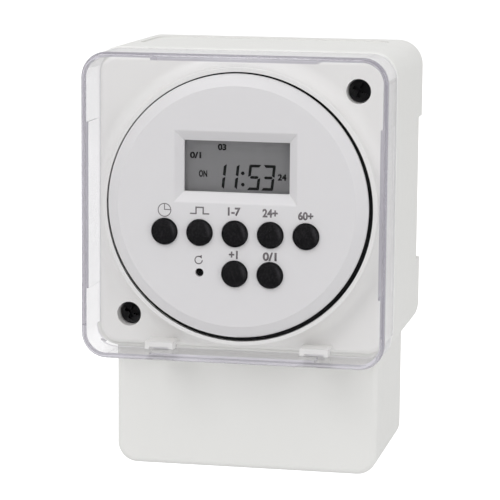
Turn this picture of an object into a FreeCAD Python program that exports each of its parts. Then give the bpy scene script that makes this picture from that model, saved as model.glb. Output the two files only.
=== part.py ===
import FreeCAD
import Part
import math
import os

# Electronic time switch with a 72 mm square front, for a wall or a 35 mm rail.
# X runs to the right, Y towards the wall and Z up, in millimetres.
# The origin is the middle of the mounting plane, on the rail's centreline.
# Distances called setback are measured rearwards from the clear pane's front.

V = FreeCAD.Vector

# Overall sizes
depth = 56.5
housing_w = 72.0
housing_rise = 0.15
housing_drop = 0.7
housing_corner = 6.0
housing_wall = 2.2
housing_edge = 0.5

# Clearances
slip = 0.1
loose = 0.3
snug = 0.05

# Clear front cover
cover_inset = 0.15
cover_corner = 6.0
cover_wall = 1.2
cover_edge = 1.0
cover_depth = 14.1
pad_rise = 0.5
pad_length = 39.0
pad_end_gap = 0.6

# White front frame: plate, round collar and hinge brackets
plate_setback = 12.2
plate_t = 2.0
plate_round = 1.2
collar_setback = 7.3
dial_gap = 0.68
collar_ring_w = 1.1
collar_x = 0.18
collar_z = -0.14
collar_lip = 0.3
collar_relief = 0.45
collar_foot_w = 4.82
skirt_t = 1.5
skirt_depth = 5.0
bracket_x = 18.5
bracket_w = 6.7
bracket_t = 0.8
bracket_bar = 1.15
bracket_leg = 0.6
bracket_front_setback = 6.2
leg_w = 1.0
hinge_pin_r = 0.4
hinge_setback = 9.9
hinge_inset = 2.0
leg_wall = 0.2

# Screws that hold the timer module in the housing
module_screw_inset = 8.8
access_hole_d = 5.8
access_tube_wall = 1.2
access_depth = 5.5
module_screw_shank = 3.5
module_screw_head_h = 2.5
module_screw_l = 16.0

# Dial
dial_setback = 5.6
dial_inset = 5.1
dial_x = -0.12
dial_rise = 0.15
dial_edge_w = 2.75
dial_edge_drop = 1.7
dial_edge_round = 0.4
dial_t = 2.5
dial_undercut = 0.9
face_x = -0.3
display_w = 25.0
display_h = 12.0
display_z = 9.35
bevel_x = 2.0
bevel_z = 2.35
bevel_depth = 1.7
bevel_round = 0.8

# Keys and the reset plunger
key_d = 6.0
key_gap = 0.18
key_pitch = 8.38
key_row_z = -6.04
key_row_step = 9.4
key_rise = 1.25
key_dome = 0.35
key_flange_w = 0.65
key_flange_t = 0.6
key_stem_d = 4.4
key_travel = 0.8
reset_hole_d = 2.0
reset_pin_d = 1.65
reset_sunk = 1.0
reset_travel = 0.6

# Display stack
window_t = 0.8
lcd_t = 2.0
lcd_margin = 1.5
lcd_frame_w = 1.4
strip_w = 1.6
mat_t = 0.7
mat_dome_t = 0.2
mat_margin = 1.2
board_t = 1.6
display_board_setback = 13.0
reset_switch_w = 3.6
reset_switch_h = 1.4

# Module cup
cup_inset = 1.58
cup_wall = 1.6
cup_flange_t = 1.3
module_rear = 13.5
seat_t = 1.5
post_r = 2.2
post_pilot_r = 0.9
post_margin = 3.2
small_screw_r = 0.75
small_head_r = 1.9
small_head_h = 1.2
small_screw_l = 6.0
power_board_rise = 17.0

# Parts on the boards
chip_w = 9.0
chip_t = 1.4
crystal_l = 6.0
crystal_r = 1.0
cell_d = 16.0
cell_t = 3.0
strap_w = 4.0
strap_t = 0.3
header_l = 16.0
header_w = 2.4
relay_l = 19.0
relay_w = 15.4
relay_h = 12.4
relay_wall = 0.8
relay_base_t = 1.2
relay_inset = 10.9
bobbin_r = 4.2
bobbin_h = 7.2
winding_r = 3.8
core_r = 1.4
core_rise = 0.3
yoke_t = 1.0
armature_t = 0.8
armature_w = 6.6
armature_gap = 0.5
armature_roll_r = 0.15
contact_r = 0.9
contact_gap = 1.0
contact_t = 0.6
film_cap = (16.0, 11.0, 7.0)
can_r = 4.0
can_h = 11.0
disc_r = 4.5
disc_t = 3.4
lead_r = 0.35
resistor_r = 1.7
resistor_l = 10.0
diode_r = 1.2
diode_l = 3.6
diode_pitch = 6.0

# Pins, sockets and terminals
terminals = 5
pin_r = 1.0
pin_z = -14.0
pin_reach = 4.2
socket_wall = 0.8
busbar_t = 1.0
busbar_w = 4.4
block_margin = 2.5
block_side = 2.6
block_h = 15.0
block_front = 3.5
chamber_wall = 2.8
chamber_h = 11.0
chamber_depth = 12.4
cage_h = 5.0
cage_side = 0.9
cage_rear = 1.0
cage_front = 2.0
wire_way = 3.0
clamp_screw_r = 1.6
clamp_head_r = 2.6
clamp_head_h = 2.6

# Lower terminal cover and the base behind it
lower_inset = 4.2
lower_h = 29.7
lower_setback = 18.0
lower_wall = 2.0
lower_corner = 4.9
lower_edge = 1.5
tray_t = 6.2
lip_w = 1.0
lip_t = 1.0
lip_inset = 1.2
entry_x = 16.0
entry_r = 4.6
grommet_wall = 1.2
grommet_flange = 0.7
grommet_flange_t = 1.0

# Wall screws and the rail seat
wall_screw_x = 31.2
wall_screw_z = 54.0
wall_screw_r = 2.1
wall_boss_r = 4.6
rail_slot_h = 35.4
rail_slot_depth = 5.8
rail_lip = 1.2
hook_x = 20.0
hook_w = 6.0
hook_t = 2.6
latch_w = 10.0
latch_t = 3.0
latch_travel = 2.5
latch_inset = 4.8
latch_window_w = 4.4
spring_r = 1.2
spring_wire_r = 0.22
spring_turns = 7
spring_l = 12.4
spring_post = 2.0
spring_drop = 12.0
bridge_h = 3.0
bridge_t = 1.3

# Blank recess on top
panel_w = 58.0
panel_from = 25.0
panel_rear = 4.5
panel_corner = 6.0
panel_sunk = 0.35


def behind(setback):
    """Y of a plane this far behind the clear pane's front."""
    return setback - depth


def block(x0, x1, y0, y1, z0, z1):
    return Part.makeBox(x1 - x0, y1 - y0, z1 - z0, V(x0, y0, z0))


def rod_x(x0, x1, y, z, r):
    return Part.makeCylinder(r, x1 - x0, V(x0, y, z), V(1, 0, 0))


def rod_y(x, z, r, y0, y1):
    return Part.makeCylinder(r, y1 - y0, V(x, y0, z), V(0, 1, 0))


def rod_z(x, y, r, z0, z1):
    return Part.makeCylinder(r, z1 - z0, V(x, y, z0), V(0, 0, 1))


def rounded(x0, x1, y0, y1, z0, z1, r):
    """A block whose four edges along Y are rounded."""
    c = math.cos(math.pi / 4) * r
    edges = []
    corners = [(x1 - r, z1 - r, 1, 1), (x0 + r, z1 - r, -1, 1),
               (x0 + r, z0 + r, -1, -1), (x1 - r, z0 + r, 1, -1)]
    ends = []
    for cx, cz, sx, sz in corners:
        side = V(cx + sx * r, y0, cz)
        middle = V(cx + sx * c, y0, cz + sz * c)
        top = V(cx, y0, cz + sz * r)
        first, last = (side, top) if sx * sz > 0 else (top, side)
        edges.append(Part.Arc(first, middle, last).toShape())
        ends.append((first, last))
    for i in range(4):
        edges.append(Part.LineSegment(ends[i][1], ends[(i + 1) % 4][0]).toShape())
    outline = Part.Wire(Part.__sortEdges__(edges))
    return Part.Face(outline).extrude(V(0, y1 - y0, 0))


def turned(points, x=0.0, z=0.0):
    """A solid turned about an axis along Y, from points of radius and setback.

    A point with a third value True is the middle of an arc to the next point.
    """
    place = [V(x + p[0], behind(p[1]), z) for p in points]
    edges = []
    i = 0
    while i < len(points):
        after = (i + 1) % len(points)
        if len(points[after]) == 3:
            last = (after + 1) % len(points)
            edges.append(Part.Arc(place[i], place[after], place[last]).toShape())
            i += 2
        else:
            edges.append(Part.LineSegment(place[i], place[after]).toShape())
            i += 1
    face = Part.Face(Part.Wire(edges))
    return face.revolve(V(x, 0, z), V(0, 1, 0), 360)


def fillet_where(shape, r, test):
    edges = [e for e in shape.Edges if test(e.BoundBox)]
    return shape.makeFillet(r, edges)


def joined(first, *others):
    return first.fuse(list(others)).removeSplitter()


def cut(first, *others):
    return first.cut(list(others))


def save(name, *solids):
    shape = solids[0] if len(solids) == 1 else Part.makeCompound(list(solids))
    if len(solids) == 1 and len(shape.Solids) == 1:
        shape = shape.Solids[0]
    shape.exportStep("parts/%s.step" % name)
    print(name, len(shape.Solids), "solids", round(shape.Volume, 1), "mm3", shape.isValid())
    return shape


# Planes and edges that several pieces share
ledge_setback = plate_setback + plate_t
cover_half = housing_w / 2 - cover_inset
cover_inner = cover_half - cover_wall
plate_half = cover_inner - loose
plate_corner = cover_corner - cover_wall - loose
inner_half = housing_w / 2 - housing_wall
housing_above = housing_w / 2 + housing_rise
housing_below = housing_w / 2 - housing_drop
inner_top = housing_above - housing_wall
inner_bottom = -housing_below + housing_wall
slot_floor_y = -rail_slot_depth
rear_wall_y = slot_floor_y - housing_wall
slot_half = rail_slot_h / 2
dial_back = dial_setback + dial_t
dial_r = housing_w / 2 - dial_inset
dial_flat_r = dial_r - dial_edge_w
hole_r = dial_r + dial_gap
collar_foot_r = hole_r + collar_foot_w
cup_r = hole_r - cup_inset
cup_front = dial_back + slip
cup_inner_r = cup_r - cup_wall
cup_rear = depth - module_rear
cup_floor = cup_rear - cup_wall
flange_r = hole_r - slip
seat_setback = cup_front + cup_flange_t
busbar_setback = cup_rear + loose
lower_half = housing_w / 2 - lower_inset
lower_bottom = housing_below + lower_h
lower_inner = lower_half - lower_wall
tray_half = lower_inner - 2 * slip
tray_bottom = -lower_bottom + lower_wall + 2 * slip
tray_y = -tray_t
channel_half = latch_w / 2 + 2 * slip
channel_y = slot_floor_y + rail_lip - slip
latch_y = channel_y + slip
latch_end = lower_bottom - latch_inset
hinge_y = behind(hinge_setback)
hinge_z = -cover_half + hinge_inset
leg_r = hinge_pin_r + snug + leg_wall
display_x = face_x
power_board_setback = cup_rear - power_board_rise
power_board_back = power_board_setback + board_t
display_board_back = display_board_setback + board_t
module_screw_x = housing_w / 2 - module_screw_inset
screw_corners = [(module_screw_x, module_screw_x), (-module_screw_x, -module_screw_x)]
access_r = access_hole_d / 2
panel_to = depth - panel_rear
access_floor = ledge_setback + access_depth
block_w = 2 * (lower_inner - block_margin)
terminal_pitch = (block_w - block_side) / terminals
chamber_w = terminal_pitch - chamber_wall
terminal_x = [(i - (terminals - 1) / 2) * terminal_pitch for i in range(terminals)]
key_places = [(face_x + (i - 2) * key_pitch, key_row_z) for i in range(5)]
key_places += [(face_x + i * key_pitch, key_row_z - key_row_step) for i in range(2)]
reset_place = (face_x - key_pitch, key_row_z - key_row_step)
post_far = cup_inner_r - post_margin
dial_posts = [(side * post_far * math.cos(a), post_far * math.sin(a))
              for a in map(math.radians, (20.0, -42.0)) for side in (1, -1)]
cup_posts = [(side * post_far * math.cos(a), post_far * math.sin(a))
             for a in map(math.radians, (32.0, -63.0)) for side in (1, -1)]


def make_clear_cover():
    """Clear box over the front, hung on two small pins inside its lower edge."""
    back = behind(cover_depth)
    shell = rounded(-cover_half, cover_half, behind(0), back, -cover_half, cover_half, cover_corner)
    shell = fillet_where(shell, cover_edge, lambda b: b.YMax < behind(0) + 0.01)
    hollow = rounded(-cover_inner, cover_inner, behind(cover_wall), back + 1,
                     -cover_inner, cover_inner, cover_corner - cover_wall)
    pad_back = behind(plate_setback - pad_end_gap)
    pad_inner = cover_inner - pad_rise
    for side in (-1, 1):
        x0, x1 = sorted((side * pad_inner, side * cover_half))
        hollow = cut(hollow, block(x0, x1, behind(0), pad_back, -pad_length / 2, pad_length / 2))
    top_pad = block(-pad_length / 2, pad_length / 2, behind(0), pad_back, pad_inner, cover_half)
    low_pad = block(-pad_length / 2, pad_length / 2, behind(0), hinge_y - leg_r - 2 * slip,
                    -cover_half, -pad_inner)
    # The low pad leaves room for the brackets.
    for side in (-1, 1):
        reach = bracket_w / 2 + 2 * slip
        room = block(side * bracket_x - reach, side * bracket_x + reach,
                     behind(bracket_front_setback - 2 * slip), back, -cover_half, 0)
        low_pad = cut(low_pad, room)
    hollow = cut(hollow, top_pad, low_pad)
    shell = cut(shell, hollow)
    # The lower edge stops short, so that it clears the plate when the cover swings down.
    trim_top = -cover_half + cover_corner + 2 * slip
    trim = block(-cover_half - 1, cover_half + 1, pad_back, back + 1, -cover_half - 1, trim_top)
    shell = cut(shell, trim)
    # Below the hinge the wall ends at the hinge, so that nothing swings up into the collar or the plate.
    end = block(-cover_half - 1, cover_half + 1, hinge_y + 2 * slip, back + 1, -cover_half - 1, hinge_z)
    shell = cut(shell, end)
    half = bracket_w / 2
    for side in (-1, 1):
        x = side * bracket_x
        web_half = half - leg_w - 2 * slip
        web = block(x - web_half, x + web_half, hinge_y - 0.6, hinge_y + 2 * slip,
                    -cover_inner - cover_wall / 2, hinge_z)
        pin = rod_x(x - half, x + half, hinge_y, hinge_z, hinge_pin_r)
        shell = joined(shell, web, pin)
    return shell


def make_front_frame():
    """White plate with a raised round collar and the two hinge brackets."""
    front = behind(plate_setback)
    ledge = behind(ledge_setback)
    plate = rounded(-plate_half, plate_half, front, ledge, -plate_half, plate_half, plate_corner)
    plate = fillet_where(plate, plate_round, lambda b: b.YMax < front + 0.01)
    ring_r = hole_r + collar_ring_w
    relief_r = hole_r + collar_relief
    shoulder = collar_setback + 0.5
    # The bore widens behind a thin lip, so the gap round the dial is dark.
    collar = turned([(hole_r, collar_setback), (ring_r - 0.2, collar_setback), (ring_r, collar_setback + 0.2),
                     (ring_r, shoulder), (ring_r + 0.9, plate_setback - 1.3, True),
                     (collar_foot_r, plate_setback), (collar_foot_r, plate_setback + 0.5),
                     (relief_r, plate_setback + 0.5), (relief_r, collar_setback + 0.8),
                     (hole_r, collar_setback + collar_lip)], collar_x, collar_z)
    limit = cover_inner - pad_rise - loose
    low_limit = -hinge_z - 2 * loose
    collar = collar.common(block(-limit, limit, behind(0), ledge, -low_limit, limit))
    plate = cut(plate, rod_y(collar_x, collar_z, relief_r, behind(0), 0))
    seat_r = ring_r - slip
    inner_r = hole_r - 2 * slip
    seat = turned([(cup_r + slip, seat_setback), (seat_r, seat_setback), (seat_r, ledge_setback + seat_t),
                   (inner_r, ledge_setback + seat_t), (inner_r, seat_setback + seat_t),
                   (cup_r + slip, seat_setback + seat_t)], 0, dial_rise)
    skirt_x = inner_half - loose
    skirt_top = inner_top - loose
    skirt_low = inner_bottom + loose
    skirt_back = behind(ledge_setback + skirt_depth)
    skirt_r = housing_corner - housing_wall - loose
    skirt = rounded(-skirt_x, skirt_x, ledge - plate_t / 2, skirt_back, skirt_low, skirt_top, skirt_r)
    inside = rounded(-skirt_x + skirt_t, skirt_x - skirt_t, ledge - plate_t / 2, skirt_back,
                     skirt_low + skirt_t, skirt_top - skirt_t, skirt_r - skirt_t)
    frame = joined(plate, collar, seat, cut(skirt, inside))
    tube_r = access_r + access_tube_wall
    for x, z in screw_corners:
        tube = rod_y(x, z, tube_r, ledge - plate_t / 2, behind(access_floor))
        way = rod_y(x, z, access_r, front - plate_t, behind(access_floor - plate_t))
        shank_way = rod_y(x, z, module_screw_shank / 2 + slip, front, 0)
        frame = cut(joined(frame, tube), way, shank_way)
    half = bracket_w / 2
    top = hinge_z + hinge_pin_r + slip + bracket_t
    tongue_low = top - bracket_t
    bar_low = top - bracket_bar
    start = behind(bracket_front_setback)
    for side in (-1, 1):
        x = side * bracket_x
        pin_way = rod_x(x - half, x + half, hinge_y, hinge_z, hinge_pin_r + slip)
        bar = cut(block(x - half, x + half, start, hinge_y, bar_low, top), pin_way)
        pieces = [bar, block(x - half, x + half, start, front + plate_t / 2, tongue_low, top)]
        for edge in (-1, 1):
            x0, x1 = sorted((x + edge * half, x + edge * (half - leg_w)))
            pieces.append(block(x0, x1, start, hinge_y, bar_low - bracket_leg, tongue_low))
            pieces.append(block(x0, x1, start, hinge_y + leg_r, hinge_z, tongue_low))
            pieces.append(rod_x(x0, x1, hinge_y, hinge_z, leg_r))
        frame = joined(frame, *pieces)
        frame = cut(frame, rod_x(x - half - 1, x + half + 1, hinge_y, hinge_z, hinge_pin_r + snug))
    return frame


def make_housing_and_base():
    """Deep white case, and the base behind it with the rail seat, screw posts and terminal space."""
    front = behind(ledge_setback)
    half = housing_w / 2
    shell = rounded(-half, half, front, 0, -housing_below, housing_above, housing_corner)
    shell = fillet_where(shell, housing_edge, lambda b: b.YMax < front + 0.01 or b.YMin > -0.01)
    inner_r = housing_corner - housing_wall
    hollow = rounded(-inner_half, inner_half, front - 1, rear_wall_y, inner_bottom, inner_top, inner_r)
    shell = cut(shell, hollow)
    rib = slot_half + housing_wall
    for z0, z1 in ((rib, inner_top), (inner_bottom, -rib)):
        recess = rounded(-inner_half, inner_half, rear_wall_y - 1, -housing_wall, z0, z1, inner_r)
        shell = cut(shell, recess)
    shell = cut(shell, block(-half - 1, half + 1, slot_floor_y, 1, -slot_half, slot_half))
    tray = rounded(-tray_half, tray_half, tray_y, 0, tray_bottom, -slot_half - housing_wall / 2, 3.2)
    below = block(-half, half, tray_y - 1, 1, tray_bottom - 1, -housing_below + housing_wall / 2)
    shell = joined(shell, tray.common(below))
    guide_half = channel_half + housing_wall
    guide = block(-guide_half, guide_half, rear_wall_y + housing_wall / 2, 0, inner_bottom - 0.5, -slot_half)
    bosses = []
    for sx in (-1, 1):
        for sz in (-1, 1):
            bosses.append(rod_y(sx * wall_screw_x / 2, sz * wall_screw_z / 2, wall_boss_r, rear_wall_y, 0))
        hook_z = slot_half - rail_lip
        hook_y = slot_floor_y + rail_lip
        bosses.append(block(sx * hook_x - hook_w / 2, sx * hook_x + hook_w / 2, hook_y, hook_y + hook_t,
                            hook_z, slot_half + housing_wall / 2))
    for x, z in screw_corners:
        bosses.append(rod_y(x, z, access_r + access_tube_wall, behind(access_floor), -housing_wall / 2))
    shell = joined(shell, guide, *bosses)
    shell = cut(shell, block(-channel_half, channel_half, channel_y, 1, tray_bottom - 1, -slot_half + 1))
    bridges = []
    bridge_y = latch_y + latch_t + slip
    for z in (-slot_half - 2 * bridge_h, tray_bottom + 2 * bridge_h):
        bridges.append(block(-guide_half, guide_half, bridge_y, bridge_y + bridge_t,
                             z - bridge_h / 2, z + bridge_h / 2))
    post_top = spring_top - spring_l
    bridges.append(block(-spring_r, spring_r, channel_y - 0.5, latch_y + latch_t - slip,
                         post_top - spring_post, post_top))
    shell = joined(shell, *bridges)
    ways = []
    for sx in (-1, 1):
        for sz in (-1, 1):
            ways.append(rod_y(sx * wall_screw_x / 2, sz * wall_screw_z / 2, wall_screw_r, rear_wall_y - 1, 1))
        x0, x1 = sorted((sx * (tray_half - lip_inset), sx * (tray_half + 1)))
        groove_y = -lip_t - 2 * lip_inset
        ways.append(block(x0, x1, groove_y, groove_y + lip_t + 4 * slip, tray_bottom - 1, -housing_below))
        ways.append(rod_y(sx * entry_x, entry_z, entry_r, tray_y - 1, 1))
        counterbore = entry_r + grommet_flange + slip
        ways.append(rod_y(sx * entry_x, entry_z, counterbore, -grommet_flange_t - slip, 1))
    for x, z in screw_corners:
        ways.append(rod_y(x, z, module_screw_shank / 2 + snug, behind(access_floor) - 1,
                          behind(access_floor + module_screw_l)))
    for x in terminal_x:
        w = busbar_w / 2 + loose
        ways.append(block(x - w, x + w, behind(busbar_setback) - 2 * slip,
                          behind(busbar_setback + busbar_t) + 2 * slip, -housing_below - 1, inner_bottom + 1))
    panel = rounded(-panel_w / 2, panel_w / 2, 0, panel_sunk + 1,
                    behind(panel_from), behind(panel_to), panel_corner)
    panel.rotate(V(0, 0, 0), V(1, 0, 0), 90)
    lift = housing_above - panel_sunk - panel.BoundBox.ZMin
    panel.translate(V(0, behind(panel_to) - panel.BoundBox.YMax, lift))
    shell = cut(shell, panel, *ways)
    walls = block(-half - 1, half + 1, front - 1, rear_wall_y, -housing_below - 1, housing_above + 1)
    walls = cut(walls, hollow)
    return shell.common(walls), cut(shell, walls)


def make_module_screws():
    screws = []
    head = behind(access_floor - plate_t)
    for x, z in screw_corners:
        body = joined(rod_y(x, z, access_r - 2 * slip, head - module_screw_head_h, head),
                      rod_y(x, z, module_screw_shank / 2, head, behind(access_floor + module_screw_l - 2)))
        for turn in (0, 90):
            top = head - module_screw_head_h
            slot = block(-access_r, access_r, top - 1, top + 1, -0.4, 0.4)
            slot.rotate(V(0, 0, 0), V(0, 1, 0), turn + 20)
            slot.translate(V(x, 0, z))
            body = cut(body, slot.common(rod_y(x, z, access_r * 0.62, top - 1, head)))
        screws.append(body)
    return screws


def make_dial():
    """Round face with the bevelled display window and the key holes."""
    edge = dial_setback + dial_edge_drop
    r = dial_edge_round
    side = edge + r
    face = turned([(0, dial_setback), (dial_flat_r, dial_setback), (dial_r - r, edge - 0.6 * r),
                   (dial_r - 0.16 * r, edge - 0.1 * r, True), (dial_r, edge + 0.5 * r), (dial_r, side),
                   (dial_r - dial_undercut, dial_back), (0, dial_back)], dial_x, dial_rise)
    half_w = display_w / 2
    half_h = display_h / 2
    outlines = []
    for grow_x, grow_z, setback in ((bevel_x, bevel_z, dial_setback), (0, 0, dial_setback + bevel_depth)):
        # Both outlines run on past the face along the same slope.
        y = behind(setback)
        corners = [V(display_x + sx * (half_w + grow_x), y, display_z + sz * (half_h + grow_z))
                   for sx, sz in ((-1, -1), (1, -1), (1, 1), (-1, 1), (-1, -1))]
        outlines.append(Part.makePolygon(corners))
    bevel = Part.makeLoft(outlines, True, True)
    bevel_foot = behind(dial_setback + bevel_depth)
    opening = block(display_x - half_w, display_x + half_w, bevel_foot - 0.01, behind(dial_back) + 1,
                    display_z - half_h, display_z + half_h)
    holes = [rod_y(x, z, key_d / 2 + key_gap, behind(0), behind(dial_back) + 1) for x, z in key_places]
    holes.append(rod_y(reset_place[0], reset_place[1], reset_hole_d / 2, behind(0), behind(dial_back) + 1))
    posts = [rod_y(x, z, post_r - 0.4, behind(dial_back) - 0.5, behind(display_board_setback))
             for x, z in dial_posts]
    pilots = [rod_y(x, z, post_pilot_r, behind(dial_back) + 0.3, 0) for x, z in dial_posts]
    face = cut(face, bevel, opening)
    reach_x = half_w + bevel_x + slip
    reach_z = half_h + bevel_z + slip
    face = fillet_where(face, bevel_round, lambda b: b.YMax < behind(dial_setback) + 0.01
                        and abs(b.Center.x - display_x) < reach_x and abs(b.Center.z - display_z) < reach_z)
    face = joined(cut(face, *holes), *posts)
    return cut(face, *pilots)


def make_key(x, z):
    """Rubber key: domed cap, flange behind the dial and a stem towards the mat."""
    r = key_d / 2
    top = dial_setback - key_rise
    flange = dial_back + snug
    stem_end = mat_front - mat_dome_t - key_travel - slip
    return turned([(0, top), (r * 0.45, top + key_dome * 0.22, True), (r - 0.4, top + key_dome),
                   (r - 0.1, top + key_dome + 0.12, True), (r, top + key_dome + 0.45), (r, flange),
                   (r + key_flange_w, flange), (r + key_flange_w, flange + key_flange_t),
                   (key_stem_d / 2, flange + key_flange_t), (key_stem_d / 2, stem_end), (0, stem_end)], x, z)


def make_reset_plunger():
    x, z = reset_place
    r = reset_pin_d / 2
    flange = dial_back + snug
    end = display_board_setback - reset_switch_h - reset_travel - slip
    return turned([(0, dial_setback + reset_sunk), (r, dial_setback + reset_sunk), (r, flange), (2 * r, flange),
                   (2 * r, flange + key_flange_t), (r, flange + key_flange_t), (r, end), (0, end)], x, z)


def make_keypad_mat():
    r = key_d / 2 + mat_margin
    x0 = key_places[0][0] - r
    x1 = key_places[4][0] + r
    z0 = key_places[5][1] - r
    z1 = key_places[0][1] + r - mat_margin
    mat = rounded(x0, x1, behind(mat_front), behind(display_board_setback), z0, z1, r / 2)
    mat = mat.common(rod_y(0, dial_rise, cup_inner_r - loose, behind(0), 0))
    for x, z in dial_posts:
        mat = cut(mat, rod_y(x, z, post_r + loose, behind(0), 0))
    domes = [rod_y(x, z, key_stem_d / 2, behind(mat_front) - mat_dome_t, behind(mat_front))
             for x, z in key_places]
    x, z = reset_place
    w = reset_switch_w / 2 + loose
    return cut(joined(mat, *domes), block(x - w, x + w, behind(0), 0, z - w, z + w))


def make_lcd_frame():
    y0 = behind(dial_back + snug)
    y1 = behind(display_board_setback)
    w = display_w / 2 + lcd_margin + slip
    h = display_h / 2 + lcd_margin + slip
    x, z = display_x, display_z
    outer = block(x - w - lcd_frame_w, x + w + lcd_frame_w, y0, y1, z - h - lcd_frame_w, z + h + lcd_frame_w)
    return cut(outer, block(x - w, x + w, y0 - 1, y1 + 1, z - h, z + h))


def make_display_plate(setback, t, margin):
    w = display_w / 2 + margin
    h = display_h / 2 + margin
    return block(display_x - w, display_x + w, behind(setback), behind(setback + t),
                 display_z - h, display_z + h)


def make_strips():
    strips = []
    for side in (-1, 1):
        z = display_z + side * (display_h / 2 + lcd_margin - strip_w)
        strips.append(block(display_x - display_w / 2, display_x + display_w / 2, behind(lcd_back + snug),
                            behind(display_board_setback - snug), z - strip_w / 2, z + strip_w / 2))
    return strips


def make_board(setback, posts, pins):
    board = rod_y(0, 0, cup_inner_r - 2 * loose, behind(setback), behind(setback + board_t))
    ways = [rod_y(x, z, post_pilot_r, behind(setback) - 1, behind(setback + board_t) + 1) for x, z in posts]
    if pins:
        ways += [rod_y(x, pin_z, pin_r + snug, behind(setback) - 1, behind(setback + board_t) + 1)
                 for x in terminal_x]
    return cut(board, *ways)


def make_board_screws(posts, seat, towards_front):
    """Small screws with their heads on a board; seat is the board's face under the heads."""
    screws = []
    for x, z in posts:
        if towards_front:
            head = rod_y(x, z, small_head_r, behind(seat), behind(seat + small_head_h))
            shank = rod_y(x, z, small_screw_r, behind(dial_back + 1.2), behind(seat))
        else:
            head = rod_y(x, z, small_head_r, behind(seat - small_head_h), behind(seat))
            shank = rod_y(x, z, small_screw_r, behind(seat), behind(seat + board_t + small_screw_l))
        screws.append(joined(head, shank))
    return screws


def make_module_cup():
    # The flange shares the collar's axis, so it fills the bottom of the gap round the dial.
    flange = rod_y(collar_x, collar_z, flange_r, behind(cup_front), behind(seat_setback))
    body = rod_y(0, dial_rise, cup_r, behind(cup_front), behind(cup_rear))
    hollow = rod_y(0, dial_rise, cup_inner_r, behind(cup_front) - 1, behind(cup_floor))
    cup = cut(joined(body, flange), hollow)
    posts = [rod_y(x, z, post_r, behind(power_board_back), behind(cup_floor) + 0.5) for x, z in cup_posts]
    ways = [rod_y(x, z, post_pilot_r, behind(power_board_back) - 1, behind(cup_floor) - 1)
            for x, z in cup_posts]
    ways += [rod_y(x, pin_z, pin_r + snug, behind(cup_floor) - 1, 0) for x in terminal_x]
    return cut(joined(cup, *posts), *ways)


def make_cell_strap():
    x, z = cell_place
    reach = cell_d / 2 + slip
    y0 = behind(display_board_back)
    y1 = behind(display_board_back + 2 * slip + cell_t)
    pieces = [block(x - reach - strap_t, x + reach + strap_t, y1, y1 + strap_t,
                    z - strap_w / 2, z + strap_w / 2)]
    for side in (-1, 1):
        x0, x1 = sorted((x + side * reach, x + side * (reach + strap_t)))
        pieces.append(block(x0, x1, y0, y1 + strap_t, z - strap_w / 2, z + strap_w / 2))
    return joined(*pieces)


def make_relay():
    """Case, base, coil, yoke, armature and fixed contact of the switching relay."""
    x0, z0 = relay_place
    x1 = x0 + relay_l
    z1 = z0 + relay_w
    back = power_board_back
    mid_z = (z0 + z1) / 2
    w = relay_wall
    case = block(x0, x1, behind(back), behind(back + relay_h), z0, z1)
    case = cut(case, block(x0 + w, x1 - w, behind(back) - 1, behind(back + relay_h - w), z0 + w, z1 - w))
    g = w + slip
    base = block(x0 + g, x1 - g, behind(back), behind(back + relay_base_t), z0 + g, z1 - g)
    top = back + relay_base_t
    coil_top = top + bobbin_h
    yoke_x = x1 - w - loose
    coil_x = yoke_x - yoke_t - bobbin_r - slip
    coil = turned([(0, top), (bobbin_r, top), (bobbin_r, top + 0.6), (winding_r, top + 0.6),
                   (winding_r, coil_top - 0.6), (bobbin_r, coil_top - 0.6), (bobbin_r, coil_top),
                   (core_r, coil_top), (core_r, coil_top + core_rise), (0, coil_top + core_rise)],
                  coil_x, mid_z)
    pivot = coil_top + core_rise + armature_gap
    half = armature_w / 2
    yoke = block(yoke_x - yoke_t, yoke_x, behind(top), behind(pivot - 0.2), mid_z - half, mid_z + half)
    far_x = x0 + w + loose + 2 * contact_r + slip
    tip_x = x0 + w + loose + contact_r
    arm_end = coil_x - bobbin_r - 0.8
    arm = block(arm_end, yoke_x, behind(pivot), behind(pivot + armature_t), mid_z - half, mid_z + half)
    blade = block(tip_x - contact_r, far_x + 3, behind(pivot + armature_t - 0.4), behind(pivot + armature_t),
                  mid_z - 1.5, mid_z + 1.5)
    blade = joined(blade, block(far_x, arm_end + 1, behind(pivot + armature_t - 0.4),
                                behind(pivot + armature_t), mid_z - 1.5, mid_z + 1.5))
    button_front = pivot + armature_t - 0.4 - contact_t
    button = rod_y(tip_x, mid_z, contact_r, behind(button_front), behind(pivot + armature_t - 0.2))
    contact = rod_y(tip_x, mid_z, contact_r, behind(top), behind(button_front - contact_gap))
    roll = rod_z(yoke_x, behind(pivot), armature_roll_r, mid_z - half, mid_z + half)
    return case, base, coil, yoke, joined(arm, roll, blade, button), contact, (yoke_x, behind(pivot))


def make_varistor():
    x, z = disc_place
    y = behind(power_board_back + disc_r + 1.0)
    disc = rod_z(x, y, disc_r, z - disc_t / 2, z + disc_t / 2)
    leads = [rod_y(x + s * disc_r / 2, z, lead_r, behind(power_board_back), y) for s in (-1, 1)]
    return joined(disc, *leads)


def make_axial(x, z, body_r, body_l, lift):
    """Round body along X on two bent leads."""
    y = behind(power_board_back + lift)
    reach = body_l / 2 + 3 * lead_r
    pieces = [rod_x(x - body_l / 2, x + body_l / 2, y, z, body_r),
              rod_x(x - reach, x + reach, y, z, lead_r * 0.8)]
    pieces += [rod_y(x + s * reach, z, lead_r, behind(power_board_back), y + lead_r) for s in (-1, 1)]
    return joined(*pieces)


def make_pins():
    pins = []
    for x in terminal_x:
        pin = rod_y(x, pin_z, pin_r, behind(power_board_setback - 0.6), behind(busbar_setback + pin_reach))
        collar = rod_y(x, pin_z, 1.8 * pin_r, behind(power_board_back), behind(power_board_back + 1))
        pins.append(joined(pin, collar))
    return pins


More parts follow.
